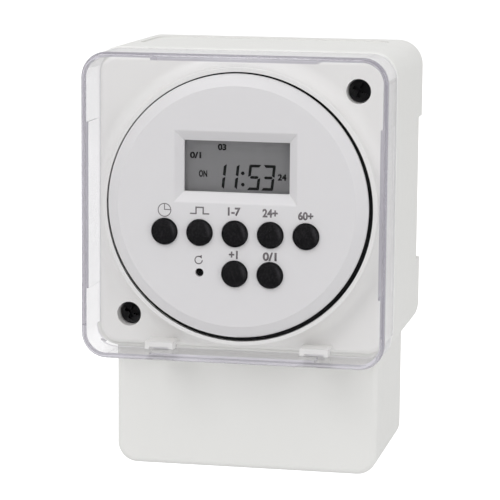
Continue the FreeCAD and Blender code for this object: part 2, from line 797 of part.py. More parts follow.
def make_sockets():
    """Round sockets for the pins, each with its bar down to a terminal."""
    sockets = []
    y0 = behind(busbar_setback)
    for x in terminal_x:
        tube = rod_y(x, pin_z, pin_r + snug + socket_wall, y0, rear_wall_y - slip)
        bar = block(x - busbar_w / 2, x + busbar_w / 2, y0, y0 + busbar_t, block_z1 - chamber_h - 2,
                    pin_z + pin_r + socket_wall + slip)
        sockets.append(cut(joined(tube, bar), rod_y(x, pin_z, pin_r + snug, y0 - 1, 0)))
    return sockets


def make_terminal_block():
    front = chamber_y0 - block_front
    body = block(-block_w / 2, block_w / 2, front, tray_y, block_z1 - block_h, block_z1)
    ways = []
    for x in terminal_x:
        ways.append(block(x - chamber_w / 2, x + chamber_w / 2, chamber_y0, chamber_y1,
                          block_z1 - block_h - 1, chamber_top))
        ways.append(rod_y(x, screw_z, clamp_head_r + loose, front - 1, chamber_y0 - 0.4))
        ways.append(rod_y(x, screw_z, clamp_screw_r + 2 * slip, front, chamber_y0 + 1))
        w = busbar_w / 2 + loose
        ways.append(block(x - w, x + w, behind(busbar_setback) - 2 * slip,
                          behind(busbar_setback + busbar_t) + 2 * slip, chamber_top - 1, block_z1 + 1))
    return cut(body, *ways)


def make_clamp_screw(x):
    head = chamber_y0 - 0.4 - snug
    body = joined(rod_y(x, screw_z, clamp_head_r, head - clamp_head_h, head),
                  rod_y(x, screw_z, clamp_screw_r, head, behind(busbar_setback) - slip))
    top = head - clamp_head_h
    slot = block(x - clamp_head_r - 1, x + clamp_head_r + 1, top - 1, top + 1.2,
                 screw_z - 0.45, screw_z + 0.45)
    return cut(body, slot)


def make_cage(x):
    half = chamber_w / 2 - 2 * slip
    inner = half - cage_side
    rear = behind(busbar_setback + busbar_t + wire_way)
    y1 = rear + cage_rear
    y0 = behind(busbar_setback) - cage_front - 1.7
    z0 = screw_z - cage_h / 2
    ring = block(x - half, x + half, y0, y1, z0, z0 + cage_h)
    ring = cut(ring, block(x - inner, x + inner, y0 + cage_front, rear, z0 - 1, z0 + cage_h + 1))
    return cut(ring, rod_y(x, screw_z, clamp_screw_r + snug, y0 - 1, y0 + cage_front + 1))


def make_terminal_cover():
    """Plain box over the terminals, which slides up onto the base's edges."""
    top = -housing_below - loose
    y0 = behind(lower_setback)
    y1 = -loose
    outer = rounded(-lower_half, lower_half, y0, y1, -lower_bottom, top + 2 * lower_corner, lower_corner)
    outer = fillet_where(outer, lower_edge, lambda b: b.YMax < y0 + 0.01)
    inner_r = lower_corner - lower_wall
    inner = rounded(-lower_inner, lower_inner, y0 + lower_wall, y1 + 1,
                    -lower_bottom + lower_wall, top + 3 * lower_corner, inner_r)
    shell = cut(outer, inner, block(-lower_half, lower_half, y0 - 1, y1 + 1, top, top + 3 * lower_corner))
    groove_y = -lip_t - 2 * lip_inset
    lips = []
    for side in (-1, 1):
        x0, x1 = sorted((side * (tray_half - lip_inset + 2 * slip), side * (lower_inner + 0.5)))
        lips.append(block(x0, x1, groove_y + 2 * slip, groove_y + 2 * slip + lip_t, tray_bottom, top))
    release = block(-latch_w / 2, latch_w / 2, latch_y - slip, y1 + 1,
                    -lower_bottom - 1, -lower_bottom + lower_wall + 1)
    return cut(joined(shell, *lips), release)


def make_grommets():
    grommets = []
    for side in (-1, 1):
        bore = entry_r - snug - grommet_wall
        edge = entry_r + grommet_flange
        front = depth - tray_t - grommet_flange_t
        rim = depth - grommet_flange_t
        grommets.append(turned([(bore, front), (edge, front), (edge, front + grommet_flange_t - snug),
                                (entry_r - snug, front + grommet_flange_t - snug), (entry_r - snug, rim),
                                (edge, rim), (edge, depth), (bore, depth)], side * entry_x, entry_z))
    return grommets


def make_latch():
    """Flat slider whose nose catches the rail's lower edge."""
    half = latch_w / 2
    nose = -slot_half + rail_lip
    plate = block(-half, half, latch_y, latch_y + latch_t, -latch_end, nose)
    w = latch_window_w / 2
    post_bottom = spring_top - spring_l - spring_post
    window = block(-w, w, latch_y - 1, latch_y + latch_t + 1, post_bottom - 2 * slip, spring_top)
    low = V(-half, latch_y + latch_t, nose - 1.2)
    back = V(-half, latch_y + latch_t, nose)
    corner = Part.makePolygon([low, back, V(-half, latch_y + latch_t - 1.6, nose), low])
    wedge = Part.Face(corner).extrude(V(latch_w, 0, 0))
    grip = block(-half / 2, half / 2, latch_y + latch_t - 1, latch_y + latch_t + 1,
                 -latch_end + 2, -latch_end + 4)
    return cut(plate, window, wedge, grip)


def arc_between(start, apex, end):
    """Arc from start to end whose two tangents meet at apex."""
    middle = (start + end) * 0.5
    half_chord = (end - start).Length / 2
    side = (apex - start).Length
    lean = math.acos(min(1.0, half_chord / side))
    outward = apex - middle
    outward.normalize()
    return Part.Arc(start, middle + outward * (half_chord * math.tan(lean / 2)), end).toShape()


def make_spring():
    """Coil of round wire along Z, swept on pairs of arcs, one pair for each quarter turn."""
    centre_y = latch_y + latch_t / 2
    z0 = spring_top - spring_l + spring_wire_r + snug
    rise = (spring_l - 2 * spring_wire_r - 2 * snug) / spring_turns
    steps = 4 * spring_turns

    def place(step):
        angle = step * math.pi / 2
        return V(spring_r * math.cos(angle), centre_y + spring_r * math.sin(angle), z0 + rise * step / 4)

    def heading(step):
        angle = step * math.pi / 2
        way = V(-spring_r * math.sin(angle), spring_r * math.cos(angle), rise / (2 * math.pi))
        way.normalize()
        return way

    edges = []
    for step in range(steps):
        a, b = place(step), place(step + 1)
        ta, tb = heading(step), heading(step + 1)
        chord = b - a
        both = ta + tb
        spread = 2 * (1 - ta.dot(tb))
        reach = (-chord.dot(both) + math.sqrt(chord.dot(both) ** 2 + spread * chord.dot(chord))) / spread
        apex_a = a + ta * reach
        apex_b = b - tb * reach
        meet = (apex_a + apex_b) * 0.5
        edges.append(arc_between(a, apex_a, meet))
        edges.append(arc_between(meet, apex_b, b))
    path = Part.Wire(edges)
    ring = Part.Wire([Part.makeCircle(spring_wire_r, place(0), heading(0))])
    coil = path.makePipeShell([ring], True, False)
    print("latch spring gap between turns", round(rise - 2 * spring_wire_r, 2), "mm")
    return coil


# Places that depend on the sizes above
mat_front = display_board_setback - mat_t
lcd_front = dial_back + 2 * snug + window_t
lcd_back = lcd_front + lcd_t
cell_place = (9.0, 6.0)
chip_place = (-8.0, -5.0)
crystal_place = (-15.0, 6.0)
header_z = 21.0
relay_place = (relay_inset - cup_inner_r, -1.7)
film_place = (4.0, relay_place[1] - film_cap[2] - loose)
can_place = (9.5, 7.5)
disc_place = (-12.0, -6.5)
resistor_z = -20.5
diode_z = 17.5
block_z1 = -housing_below - 1.2
chamber_top = block_z1 - (block_h - chamber_h)
chamber_y1 = behind(busbar_setback + busbar_t + wire_way + cage_rear) + slip
chamber_y0 = chamber_y1 - chamber_depth
screw_z = chamber_top - chamber_h / 2
entry_z = tray_bottom + entry_r + grommet_flange + 0.4
spring_top = -slot_half - spring_drop

os.makedirs("parts", exist_ok=True)

housing, base_moulding = make_housing_and_base()
save("main_housing", housing)
save("mounting_base", base_moulding)
save("front_frame", make_front_frame())
save("clear_cover", make_clear_cover())
save("module_screws", *make_module_screws())
save("dial_face", make_dial())
for number, (x, z) in enumerate(key_places, 1):
    save("key_%d" % number, make_key(x, z))
save("reset_plunger", make_reset_plunger())
save("keypad_mat", make_keypad_mat())
save("lcd_window", make_display_plate(dial_back + snug, window_t, lcd_margin - 2 * slip))
save("lcd_panel", make_display_plate(lcd_front, lcd_t, lcd_margin))
save("lcd_frame", make_lcd_frame())
save("contact_strips", *make_strips())
save("display_board", make_board(display_board_setback, dial_posts, False))
save("display_board_screws", *make_board_screws(dial_posts, display_board_back, True))
x, z = reset_place
w = reset_switch_w / 2
save("reset_switch", block(x - w, x + w, behind(display_board_setback - reset_switch_h),
                           behind(display_board_setback), z - w, z + w))
x, z = chip_place
save("controller_chip", block(x - chip_w / 2, x + chip_w / 2, behind(display_board_back),
                              behind(display_board_back + chip_t), z - chip_w / 2, z + chip_w / 2))
x, z = crystal_place
y = behind(display_board_back + crystal_r + snug)
save("clock_crystal", rod_x(x - crystal_l / 2, x + crystal_l / 2, y, z, crystal_r))
x, z = cell_place
y = behind(display_board_back + slip)
save("backup_cell", rod_y(x, z, cell_d / 2, y, y + cell_t))
save("cell_strap", make_cell_strap())
save("board_connector", block(-header_l / 2, header_l / 2,
                              behind(display_board_back), behind(power_board_setback),
                              header_z - header_w / 2, header_z + header_w / 2))
save("module_cup", make_module_cup())
save("power_board", make_board(power_board_setback, cup_posts, True))
save("power_board_screws", *make_board_screws(cup_posts, power_board_setback, False))
case, base, coil, yoke, armature, contact, pivot = make_relay()
save("relay_case", case)
save("relay_base", base)
save("relay_coil", coil)
save("relay_yoke", yoke)
save("relay_armature", armature)
save("relay_contact", contact)
x, z = film_place
y = behind(power_board_back)
save("film_capacitor", rounded(x, x + film_cap[0], y, y + film_cap[1], z, z + film_cap[2], 0.8))
save("can_capacitor", rod_y(can_place[0], can_place[1], can_r, y, y + can_h))
save("varistor", make_varistor())
save("fuse_resistor", make_axial(0, resistor_z, resistor_r, resistor_l, resistor_r + 0.8))
save("rectifier_diodes", *[make_axial((i - 1.5) * diode_pitch, diode_z, diode_r, diode_l, diode_r + 0.4)
                           for i in range(4)])
save("module_pins", *make_pins())
save("pin_sockets", *make_sockets())
save("terminal_block", make_terminal_block())
for number, x in enumerate(terminal_x, 1):
    save("terminal_screw_%d" % number, make_clamp_screw(x))
    save("clamp_cage_%d" % number, make_cage(x))
save("terminal_cover", make_terminal_cover())
save("cable_grommets", *make_grommets())
save("rail_latch", make_latch())
save("latch_spring", make_spring())
print("hinge axis", hinge_y, hinge_z, "armature pivot", pivot, "entry", entry_z)
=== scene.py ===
# %% [markdown]
# # A digital time switch in Blender
#
# The object is a white time switch for a wall or a 35 mm rail. Its front is a square frame with a
# raised round collar, a dial with black keys and a small display, all under a clear hinged cover. A
# plain box below covers the wires. The shapes were constructed elsewhere and come in as a fixed frame.
# This lesson gives them their materials, and adds what is printed on them, the display's segments, the
# studio and the camera.

# %% The frame and the names used all through
import math

import bmesh
import bpy
from mathutils import Matrix, Vector


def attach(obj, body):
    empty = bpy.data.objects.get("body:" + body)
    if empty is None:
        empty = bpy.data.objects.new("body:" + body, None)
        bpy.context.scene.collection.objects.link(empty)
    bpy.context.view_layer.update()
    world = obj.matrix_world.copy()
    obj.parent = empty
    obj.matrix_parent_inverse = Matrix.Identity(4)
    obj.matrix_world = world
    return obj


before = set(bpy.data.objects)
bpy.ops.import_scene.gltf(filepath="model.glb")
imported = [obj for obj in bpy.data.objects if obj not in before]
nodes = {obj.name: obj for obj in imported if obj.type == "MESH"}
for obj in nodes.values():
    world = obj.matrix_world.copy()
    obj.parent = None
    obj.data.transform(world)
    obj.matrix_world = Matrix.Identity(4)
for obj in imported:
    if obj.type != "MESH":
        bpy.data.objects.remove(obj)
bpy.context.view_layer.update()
MM = 0.001
DEPTH = 56.5 * MM

# %% [markdown]
# ## Small steps of a material
#
# Every finish is a small net of nodes round one Principled shader. It could be put together by hand in
# the shader editor. Written as code, each step that comes back in many finishes is a short function, so
# that a finish reads as one line for each thing that varies. The first functions make a new finish,
# noise and arithmetic.

# %% A new finish, noise and arithmetic


def new_finish(name):
    """A new material whose net of nodes is empty but for its shader and output."""
    material = bpy.data.materials.new(name)
    material.use_nodes = True
    net = material.node_tree
    net.nodes.clear()
    out = net.nodes.new("ShaderNodeOutputMaterial")
    shader = net.nodes.new("ShaderNodeBsdfPrincipled")
    net.links.new(shader.outputs["BSDF"], out.inputs["Surface"])
    place = net.nodes.new("ShaderNodeTexCoord")
    return material, net, shader, place.outputs["Object"], out


def noise(net, where, scale, detail=2.0):
    """Noise between 0 and 1 at this many cycles a metre."""
    texture = net.nodes.new("ShaderNodeTexNoise")
    texture.inputs["Scale"].default_value = scale
    texture.inputs["Detail"].default_value = detail
    net.links.new(where, texture.inputs["Vector"])
    return texture.outputs["Fac"]


def spread(net, value, low, high, start=0.3, end=0.7):
    """The value between start and end, mapped to between low and high."""
    ramp = net.nodes.new("ShaderNodeMapRange")
    ramp.inputs["From Min"].default_value = start
    ramp.inputs["From Max"].default_value = end
    ramp.inputs["To Min"].default_value = low
    ramp.inputs["To Max"].default_value = high
    net.links.new(value, ramp.inputs["Value"])
    return ramp.outputs["Result"]


def node_math(net, operation, a, b=0.0, c=0.0):
    """One step of arithmetic on up to three values, each a number or another node's output."""
    step = net.nodes.new("ShaderNodeMath")
    step.operation = operation
    for socket, value in zip(step.inputs, (a, b, c)):
        if isinstance(value, (int, float)):
            socket.default_value = value
        else:
            net.links.new(value, socket)
    return step.outputs["Value"]


def axes(net, vector):
    """The vector's X, Y and Z, to be taken by name."""
    split = net.nodes.new("ShaderNodeSeparateXYZ")
    net.links.new(vector, split.inputs["Vector"])
    return split.outputs


print("helpers for values ready")

# %% [markdown]
# ## Colours, shaders and relief
#
# A second set of functions works on what the values steer: a colour between two others, a shader of one
# colour, a mix of two shaders and the relief of the surface.

# %% Colours, shaders and relief


def blend_colours(net, factor, first, second):
    """A colour that goes from first to second as factor goes from 0 to 1."""
    ramp = net.nodes.new("ShaderNodeValToRGB")
    ramp.color_ramp.elements[0].color = (*first, 1)
    ramp.color_ramp.elements[1].color = (*second, 1)
    net.links.new(factor, ramp.inputs["Fac"])
    return ramp.outputs["Color"]


def one_colour(net, kind, colour):
    """A shader of this kind, such as Emission, in one colour."""
    plain = net.nodes.new("ShaderNode" + kind)
    plain.inputs["Color"].default_value = (*colour, 1)
    return plain.outputs[0]


def mixed(net, factor, first, second):
    """A shader that goes from first to second as factor goes from 0 to 1."""
    mix = net.nodes.new("ShaderNodeMixShader")
    net.links.new(factor, mix.inputs["Fac"])
    net.links.new(first, mix.inputs[1])
    net.links.new(second, mix.inputs[2])
    return mix.outputs["Shader"]


def bumped(net, shader, height, depth, strength=1.0):
    """Gives the shader a surface relief of this depth in metres."""
    bump = net.nodes.new("ShaderNodeBump")
    bump.inputs["Distance"].default_value = depth
    bump.inputs["Strength"].default_value = strength
    net.links.new(height, bump.inputs["Height"])
    net.links.new(bump.outputs["Normal"], shader.inputs["Normal"])


print("helpers for shaders ready")

# %% [markdown]
# ## Moulded plastic and rubber
#
# Most of the timer is moulded. One flat colour and one gloss would look like cut paper, so three things
# vary: a faint change of tone, a gloss that comes and goes, and the grain that the mould leaves. They
# come from noise in the object's own coordinates, which stays on the piece when it moves. The objects
# are in metres, so a noise scale of 1000 gives a pattern about a millimetre across.

# %% A moulded finish


def moulded(name, colour, vary=0.015, gloss=(0.35, 0.45), grain=1400, relief=0.006 * MM, specular=0.5):
    """Moulded plastic or rubber: nearly even colour, soft gloss and a fine grain."""
    material, net, shader, where, _ = new_finish(name)
    tone = noise(net, where, 45, 3)
    darker = tuple(c * (1 - vary) for c in colour)
    lighter = tuple(min(1.0, c * (1 + vary)) for c in colour)
    net.links.new(blend_colours(net, tone, darker, lighter), shader.inputs["Base Color"])
    net.links.new(spread(net, noise(net, where, grain * 0.3), *gloss), shader.inputs["Roughness"])
    shader.inputs["Specular IOR Level"].default_value = specular
    bumped(net, shader, noise(net, where, grain, 3), relief)
    return material


print("moulded finish ready")

# %% [markdown]
# ## White plastic
#
# The case, the front frame and the terminal cover are the same bright, slightly warm plastic. The case
# and the terminal cover have a fine matt grain. The frame is a little smoother, and the dial is a touch
# cooler and flatter. One material could serve them all, but then the dial would not stand out from the
# frame round it.

# %% White plastics
case_white = moulded("case white", (0.785, 0.783, 0.765), gloss=(0.42, 0.52), relief=0.008 * MM)
frame_white = moulded("frame white", (0.85, 0.843, 0.827), vary=0.01, gloss=(0.32, 0.4), relief=0.004 * MM)
dial_white = moulded("dial white", (0.79, 0.782, 0.784), vary=0.01, gloss=(0.4, 0.48), grain=2200,
                     relief=0.004 * MM)
block_white = moulded("terminal block white", (0.7, 0.7, 0.67), gloss=(0.4, 0.5))
print("white plastics:", case_white.name, frame_white.name, dial_white.name, block_white.name)

# %% [markdown]
# ## Clear plastic
#
# The cover is a real solid wall 1.2 mm thick, so a refracting shader shows its edges as the eye sees
# them, grey and bright lines where the light is led along the wall. The plastic absorbs a trace of
# light, green most, which tints the long way through an edge lilac and leaves the pane clear. Lamps
# have to reach the dial through it. Tracing them through the refraction would be slow and full of
# noise, so the same material is simply transparent to shadow rays and to light that comes off what lies
# behind it.

# %% What all clear plastic shares


def clear_plastic(name, tint, roughness, absorbs):
    """A tree whose shader refracts, with a trace of absorption inside the wall."""
    material, net, shader, where, out = new_finish(name)
    shader.inputs["Base Color"].default_value = (*tint, 1)
    shader.inputs["Transmission Weight"].default_value = 1.0
    shader.inputs["IOR"].default_value = 1.5
    net.links.new(spread(net, noise(net, where, 60), 0.0, roughness), shader.inputs["Roughness"])
    bumped(net, shader, noise(net, where, 25, 1), 0.004 * MM, 0.3)
    inside = net.nodes.new("ShaderNodeVolumeAbsorption")
    inside.inputs["Color"].default_value = (0.6, 0.56, 0.71, 1)
    inside.inputs["Density"].default_value = absorbs
    net.links.new(inside.outputs["Volume"], out.inputs["Volume"])
    return material, net, shader, where, out


def let_lamps_through(net, seen, out):
    """Shows the shader seen to the eye, and is transparent to shadow rays and to light from behind."""
    path = net.nodes.new("ShaderNodeLightPath").outputs
    passing = node_math(net, "MAXIMUM", path["Is Shadow Ray"], path["Is Diffuse Ray"])
    nearly_all = one_colour(net, "BsdfTransparent", (0.97, 0.97, 0.972))
    net.links.new(mixed(net, passing, seen, nearly_all), out.inputs["Surface"])


window_clear, net, shader, where, out = clear_plastic("display window", (0.98, 0.98, 0.98), 0.015, 20.0)
let_lamps_through(net, shader.outputs["BSDF"], out)
print("display window:", window_clear.name)

# %% [markdown]
# ## The cover's pane and rim
#
# Two parts of the cover differ from the rest. The rim that rests on the frame is left matt by the
# mould, so it shows as a soft white line, and the edges in front of it carry that light. The flat pane
# mirrors next to nothing when it is seen from the front. They could get materials of their own, face by
# face. Masks inside the one material need no picking of faces: both parts look along Y, so a test of
# the face's direction finds them, and its place tells them apart. The test is in the object's own
# directions, so that it also holds when the cover is open.

# %% Masks for the pane and the rim
RIM_Y = 6.5 * MM - DEPTH


def pane_and_rim(net, where):
    """Two masks of faces that look along Y: the pane before RIM_Y, and the ends of the walls behind it."""
    own = net.nodes.new("ShaderNodeVectorTransform")
    own.vector_type, own.convert_from, own.convert_to = "NORMAL", "WORLD", "OBJECT"
    net.links.new(net.nodes.new("ShaderNodeNewGeometry").outputs["True Normal"], own.inputs["Vector"])
    towards_y = node_math(net, "ABSOLUTE", axes(net, own.outputs["Vector"])["Y"])
    along = node_math(net, "GREATER_THAN", towards_y, 0.98)
    far = node_math(net, "GREATER_THAN", axes(net, where)["Y"], RIM_Y)
    rim = node_math(net, "MULTIPLY", along, far)
    return node_math(net, "SUBTRACT", along, rim), rim


print("rim starts", round((RIM_Y + DEPTH) / MM, 2), "mm behind the pane's front")

# %% [markdown]
# ## The clear cover
#
# Light that has been mirrored three times inside the plastic is led far along it, and on the real cover
# it comes out as a lilac grey. A renderer gives up on such light after a number of bounces and shows
# black lines instead. More bounces would cost time and still end in black. So from the third mirroring
# on, the cover gives that lilac grey itself.

# %% Clear cover
MIRRORINGS_TRACED = 2
cover_clear, net, shader, where, out = clear_plastic("clear cover", (0.94, 0.939, 0.94), 0.01, 24.0)
pane, rim = pane_and_rim(net, where)
net.links.new(node_math(net, "SUBTRACT", 1.0, pane), shader.inputs["Specular Tint"])
matt_rim = mixed(net, rim, shader.outputs["BSDF"], one_colour(net, "BsdfDiffuse", (0.8, 0.79, 0.81)))
mirrorings = net.nodes.new("ShaderNodeLightPath").outputs["Glossy Depth"]
trapped = node_math(net, "GREATER_THAN", mirrorings, MIRRORINGS_TRACED + 0.5)
led_light = one_colour(net, "Emission", (0.43, 0.42, 0.45))
let_lamps_through(net, mixed(net, trapped, matt_rim, led_light), out)
print("clear cover:", cover_clear.name, "with", len(net.nodes), "nodes")

# %% [markdown]
# ## Key rubber
#
# The keys are matt black rubber. Their crowns carry light specks of dust, and they are painted greyer than
# their flanks, which stay black as painted shade, with a painted highlight where they look to the right and
# up. The crown is told from the flank by its place along Y, and its highlighted side by the way the
# surface faces. A lamp of its own could light that side, but it would light the dial too.

# %% Key rubber
KEY_CROWN_Y = 4.72 * MM - DEPTH
CROWN_FADES_OVER = 0.12 * MM
key_black, net, shader, where, _ = new_finish("key rubber")
# Painted shade: the flanks keep the darkest rubber, and only the crown gets dust and the painted highlight.
crown = spread(net, axes(net, where)["Y"], 1, 0, KEY_CROWN_Y, KEY_CROWN_Y + CROWN_FADES_OVER)
dust = spread(net, noise(net, where, 2600, 2), 0.12, 0.42, 0.45, 0.75)
facing = axes(net, net.nodes.new("ShaderNodeNewGeometry").outputs["Normal"])
right_and_up = node_math(net, "MULTIPLY_ADD", facing["Z"], 0.35, facing["X"])
# Painted highlight: the crown is lighter where its surface faces right and up.
wear_and_painted_highlight = spread(net, right_and_up, 0, 0.55, 0.19, 0.28)
grey = node_math(net, "MULTIPLY", crown, node_math(net, "ADD", dust, wear_and_painted_highlight))
rubber = blend_colours(net, grey, (0.0015, 0.0015, 0.002), (0.052, 0.05, 0.054))
net.links.new(rubber, shader.inputs["Base Color"])
net.links.new(spread(net, noise(net, where, 270), 0.5, 0.68), shader.inputs["Roughness"])
shader.inputs["Specular IOR Level"].default_value = 0.12
bumped(net, shader, noise(net, where, 900, 3), 0.012 * MM)
print("key rubber:", key_black.name)

# %% [markdown]
# ## Display glass
#
# The display is a grey sheet of glass. Its colour is painted a little lighter at its left edge, where
# light slips in beside it, and along the top, where the recess would otherwise make it too dark: both
# are painted light. A picture with a soft border could do this. Two ramps over the panel's own
# coordinates need no file, and the stronger one wins.

# %% Display glass
LEFT_EDGE_X = (-12.2 * MM, -11.2 * MM)
TOP_EDGE_Z = (13.2 * MM, 15.4 * MM)
display_grey, net, shader, where, _ = new_finish("display grey")
# Painted light: the left edge and the top are lifted against the shade of the recess round the panel.
left = spread(net, axes(net, where)["X"], 0.3, 0, *LEFT_EDGE_X)
top = spread(net, axes(net, where)["Z"], 0, 1, *TOP_EDGE_Z)
painted_lift = node_math(net, "MAXIMUM", left, top)
glass = blend_colours(net, painted_lift, (0.265, 0.265, 0.265), (0.39, 0.388, 0.388))
net.links.new(glass, shader.inputs["Base Color"])
net.links.new(spread(net, noise(net, where, 300), 0.3, 0.36), shader.inputs["Roughness"])
shader.inputs["Specular IOR Level"].default_value = 0.1
print("display:", display_grey.name)

# %% [markdown]
# ## Other dark plastics, rubber and ink
#
# The module's cup, the grommets and the small black parts of the boards are plain moulded pieces, so
# the moulded finish serves them too, with more change of tone in the rubber. The display's segments are
# nearly black and have no grain. The ink on the dial is a warm grey, flatter than the plastic.

# %% Dark plastics, rubber and ink
# The module's cup shows only through the gap round the dial, and its black darkens that gap.
works_black = moulded("black plastic", (0.012, 0.012, 0.013), vary=0.1, gloss=(0.35, 0.5), specular=0.25)
grommet_black = moulded("grommet rubber", (0.018, 0.018, 0.018), vary=0.2, gloss=(0.55, 0.7))
mat_grey = moulded("mat rubber", (0.3, 0.3, 0.29), gloss=(0.5, 0.6))
segment_black = moulded("display segment", (0.01, 0.011, 0.01), vary=0.05, gloss=(0.5, 0.6), relief=0.0,
                        specular=0.1)
ink_grey = moulded("printed grey", (0.19, 0.175, 0.18), vary=0.03, gloss=(0.5, 0.6), relief=0.001 * MM)
dark_finishes = (works_black, grommet_black, mat_grey, segment_black, ink_grey)
print("dark finishes:", ", ".join(finish.name for finish in dark_finishes))

# %% [markdown]
# ## Metals
#
# Screws, cages, the cell and the relay's iron are plated steel, with fine lines across the Y axis, as
# turning and rolling leave them. A picture of scratches would not fit round a screw. So the lines are
# noise that a Mapping node packs closer along Y. The latch spring is drawn wire with an even noise.
# Pins, sockets and bars are brass, the relay's winding is copper, the smoothing capacitor's can is
# dark, and the two module screws are blackened.

# %% Metals


def metal(name, colour, gloss, across=(300, 2500, 300)):
    """Metal with fine lines. Across says how dense the noise is along X, Y and Z."""
    material, net, shader, where, _ = new_finish(name)
    lines = net.nodes.new("ShaderNodeMapping")
    lines.inputs["Scale"].default_value = across
    net.links.new(where, lines.inputs["Vector"])
    fine = noise(net, lines.outputs["Vector"], 1.0, 3)
    tone = noise(net, where, 500, 2)
    wear_and_painted_highlight = tuple(c * 0.82 for c in colour)
    net.links.new(blend_colours(net, tone, wear_and_painted_highlight, colour), shader.inputs["Base Color"])
    net.links.new(spread(net, fine, *gloss), shader.inputs["Roughness"])
    shader.inputs["Metallic"].default_value = 1.0
    bumped(net, shader, fine, 0.002 * MM)
    return material


black_steel = metal("blackened steel", (0.065, 0.065, 0.068), (0.3, 0.5))
plated_steel = metal("plated steel", (0.62, 0.62, 0.6), (0.22, 0.38))
spring_steel = metal("spring steel", (0.5, 0.5, 0.5), (0.2, 0.3), (900, 900, 900))
contact_brass = metal("contact brass", (0.72, 0.56, 0.28), (0.2, 0.32))
copper_wire = metal("winding copper", (0.55, 0.22, 0.09), (0.25, 0.4), (300, 4000, 300))
can_metal = metal("capacitor can", (0.09, 0.1, 0.16), (0.3, 0.45))
print("metals:", plated_steel.name, black_steel.name, contact_brass.name, copper_wire.name)

# %% [markdown]
# ## The works inside
#
# Nobody sees these until the dial is off, but each has its own finish: green lacquered boards with
# darker lanes between their tracks, a blue relay, a yellow film capacitor, and so on. The lanes could
# be an image. The edges between the cells of a Voronoi pattern look enough like them and need no file.

# %% Boards with tracks
TRACKS_A_METRE = 260
board_green, net, shader, where, _ = new_finish("board green")
tracks = net.nodes.new("ShaderNodeTexVoronoi")
tracks.feature = "DISTANCE_TO_EDGE"
tracks.inputs["Scale"].default_value = TRACKS_A_METRE
net.links.new(where, tracks.inputs["Vector"])
lane = spread(net, tracks.outputs["Distance"], 0, 1, 0.06, 0.09)
lacquer = blend_colours(net, lane, (0.02, 0.16, 0.06), (0.035, 0.24, 0.09))
net.links.new(lacquer, shader.inputs["Base Color"])
net.links.new(spread(net, noise(net, where, 500), 0.28, 0.4), shader.inputs["Roughness"])
bumped(net, shader, lane, 0.02 * MM)
print("boards:", board_green.name)

# %% Parts on the boards, and the latch
relay_blue = moulded("relay blue", (0.03, 0.06, 0.26), gloss=(0.3, 0.4))
film_yellow = moulded("film yellow", (0.6, 0.4, 0.04), gloss=(0.2, 0.3))
disc_blue = moulded("disc blue", (0.03, 0.1, 0.4), vary=0.1, gloss=(0.15, 0.3))
resistor_green = moulded("resistor green", (0.3, 0.42, 0.3), vary=0.08, gloss=(0.4, 0.5))
latch_grey = moulded("latch grey", (0.3, 0.31, 0.32), gloss=(0.35, 0.45))
print("works:", relay_blue.name, film_yellow.name, disc_blue.name, resistor_green.name, latch_grey.name)

# %% [markdown]
# ## Each piece gets its finish
#
# The constructed pieces keep their shape. Only what is in their material slots changes. One table says
# which finish a piece has, and a piece that isn't in it is a key or plated steel. Setting the finishes
# one by one would take a line for each piece and hide which of them are alike.

# %% Finishes of the constructed pieces
finishes = {
    "main_housing": case_white, "mounting_base": case_white, "terminal_cover": case_white,
    "front_frame": frame_white, "dial_face": dial_white,
    "terminal_block": block_white, "clear_cover": cover_clear, "lcd_window": window_clear,
    "lcd_panel": display_grey, "reset_plunger": works_black, "module_cup": works_black,
    "lcd_frame": works_black, "relay_base": works_black, "board_connector": works_black,
    "reset_switch": works_black, "controller_chip": works_black, "rectifier_diodes": works_black,
    "keypad_mat": mat_grey, "contact_strips": mat_grey, "cable_grommets": grommet_black,
    "display_board": board_green, "power_board": board_green, "relay_case": relay_blue,
    "relay_coil": copper_wire, "relay_contact": contact_brass, "module_pins": contact_brass,
    "pin_sockets": contact_brass, "film_capacitor": film_yellow, "can_capacitor": can_metal,
    "varistor": disc_blue, "fuse_resistor": resistor_green, "rail_latch": latch_grey,
    "latch_spring": spring_steel, "module_screws": black_steel,
}
for name, node in nodes.items():
    finish = finishes.get(name, key_black if name.startswith("key_") else plated_steel)
    for material_slot in node.material_slots:
        material_slot.material = finish
print("finished", len(nodes), "pieces,", sum(n not in finishes for n in nodes), "of them keys or steel")

# %% [markdown]
# ## Thin marks on a surface
#
# The ink on the dial and the segments of the display are thinner than paper. They could be painted into
# the material, but that takes a picture file, and its edges blur from close by. So each mark is a thin
# solid, two hundredths of a millimetre thick. It is made flat, with X to the right and Y up, and then
# stood upright so that it faces the viewer. One helper thickens, turns and places it, and puts it on
# its body.

# %% Standing a flat mark upright
UPRIGHT = Matrix.Rotation(math.pi / 2, 4, "X")
MARK_THICKNESS = 0.02 * MM


def mark(name, bm, x, z, y, material, body="base"):
    """Thickens the flat faces of bm, stands them upright at (x, y, z) and adds them to the scene."""
    flat = bm.faces[:]
    bmesh.ops.recalc_face_normals(bm, faces=flat)
    top = bmesh.ops.extrude_face_region(bm, geom=flat)["geom"]
    moved = [v for v in top if isinstance(v, bmesh.types.BMVert)]
    bmesh.ops.translate(bm, verts=moved, vec=(0, 0, MARK_THICKNESS))
    bmesh.ops.recalc_face_normals(bm, faces=bm.faces[:])
    bmesh.ops.transform(bm, matrix=Matrix.Translation((x, y, z)) @ UPRIGHT, verts=bm.verts[:])
    mesh = bpy.data.meshes.new(name)
    bm.to_mesh(mesh)
    bm.free()
    piece = bpy.data.objects.new(name, mesh)
    bpy.context.scene.collection.objects.link(piece)
    mesh.materials.append(material)
    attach(piece, body)


print("marks are", MARK_THICKNESS / MM, "mm thick")

# %% [markdown]
# ## Two planes for marks
#
# Every mark lies on one of two planes: the dial's face, where it is grey ink, or the display's panel
# behind its window, where it is a segment. A short function for each plane keeps the lines below free
# of what is always the same.

